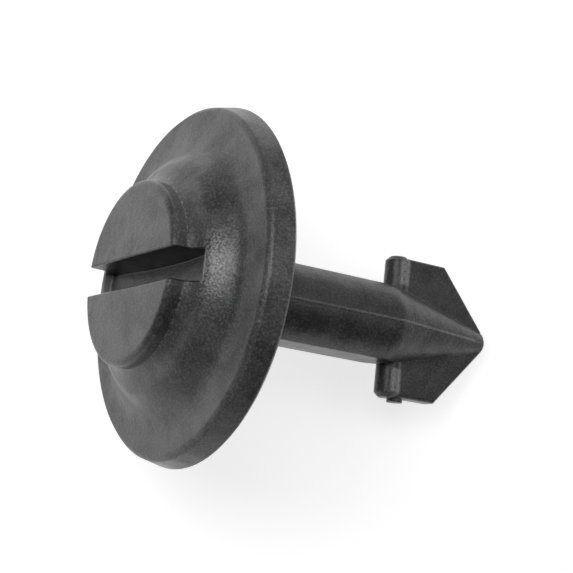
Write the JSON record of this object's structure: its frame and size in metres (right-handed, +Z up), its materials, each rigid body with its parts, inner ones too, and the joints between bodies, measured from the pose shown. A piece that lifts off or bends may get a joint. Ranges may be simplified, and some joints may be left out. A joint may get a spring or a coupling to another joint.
{
  "type": "splash shield retainer",
  "caption": "Moulded splash shield retainer: a slotted, belled head on a round flange, a flat sided shank, and an arrow shaped winged nose that locks behind the sheet when turned.",
  "frame": {"origin": "middle of the bounding box's base, in the pose in which the pin comes to rest", "axes": "+X runs from the head towards the nose, level with the floor and along the longest extent; +Y runs along the wings; +Z is up and is the shortest extent"},
  "size_m": [0.0358, 0.03, 0.0274],
  "materials": {
    "moulded_plastic": "fine satin grain as moulded"
  },
  "bodies": {
    "root": {"retainer": "moulded_plastic"}
  },
  "joints": []
}
